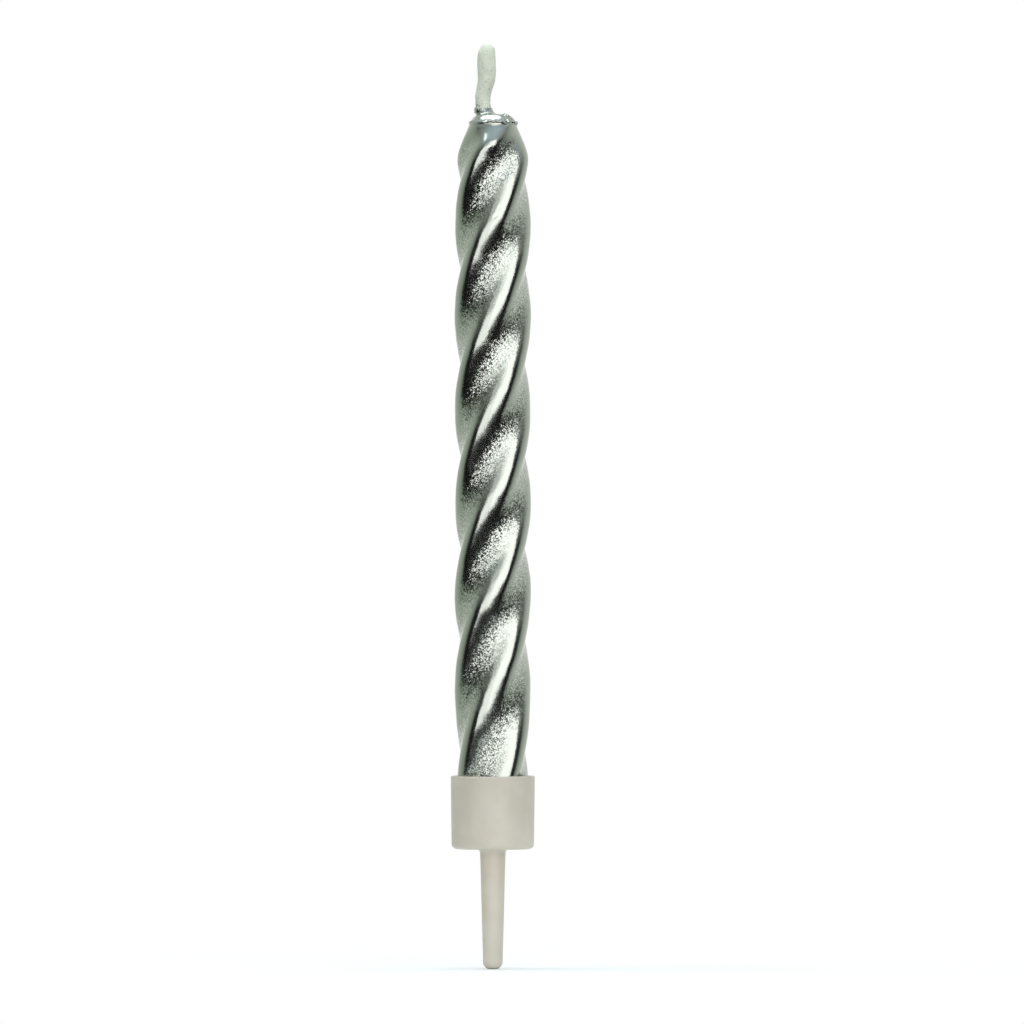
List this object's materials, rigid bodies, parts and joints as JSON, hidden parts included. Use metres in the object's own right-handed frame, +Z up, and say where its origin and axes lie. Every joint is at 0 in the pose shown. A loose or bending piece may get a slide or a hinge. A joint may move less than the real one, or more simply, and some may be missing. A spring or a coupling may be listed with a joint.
{
  "type": "spiral birthday candle",
  "caption": "Slim twisted birthday candle with a metallic silver skin and a waxed wick, standing in a plain white cup with a tapered spike that pushes into a cake.",
  "frame": {"origin": "middle of the cup's underside, where the spike starts", "axes": "+Z up the candle to the wick, -Y the front as pictured, +X to the right"},
  "size_m": [0.007, 0.007, 0.0772],
  "materials": {
    "holder_plastic": "warm white polystyrene, moulded, satin",
    "paraffin_wax": "pale paraffin wax, cut end, dull",
    "silver_lacquer": "silver flake lacquer dipped over wax, glossy with a fine sparkle",
    "waxed_cotton": "flat cotton braid soaked in wax, pale, slightly lumpy"
  },
  "bodies": {
    "holder": {"holder": "holder_plastic"},
    "candle": {"wax_core": "paraffin_wax", "silver_coat": "silver_lacquer", "wick": "waxed_cotton"}
  },
  "joints": [
    {"name": "candle_pull", "type": "slide", "parent": "holder", "child": "candle", "axis": [0, 0, 1], "range_m": [0, 0.0053]}
  ]
}
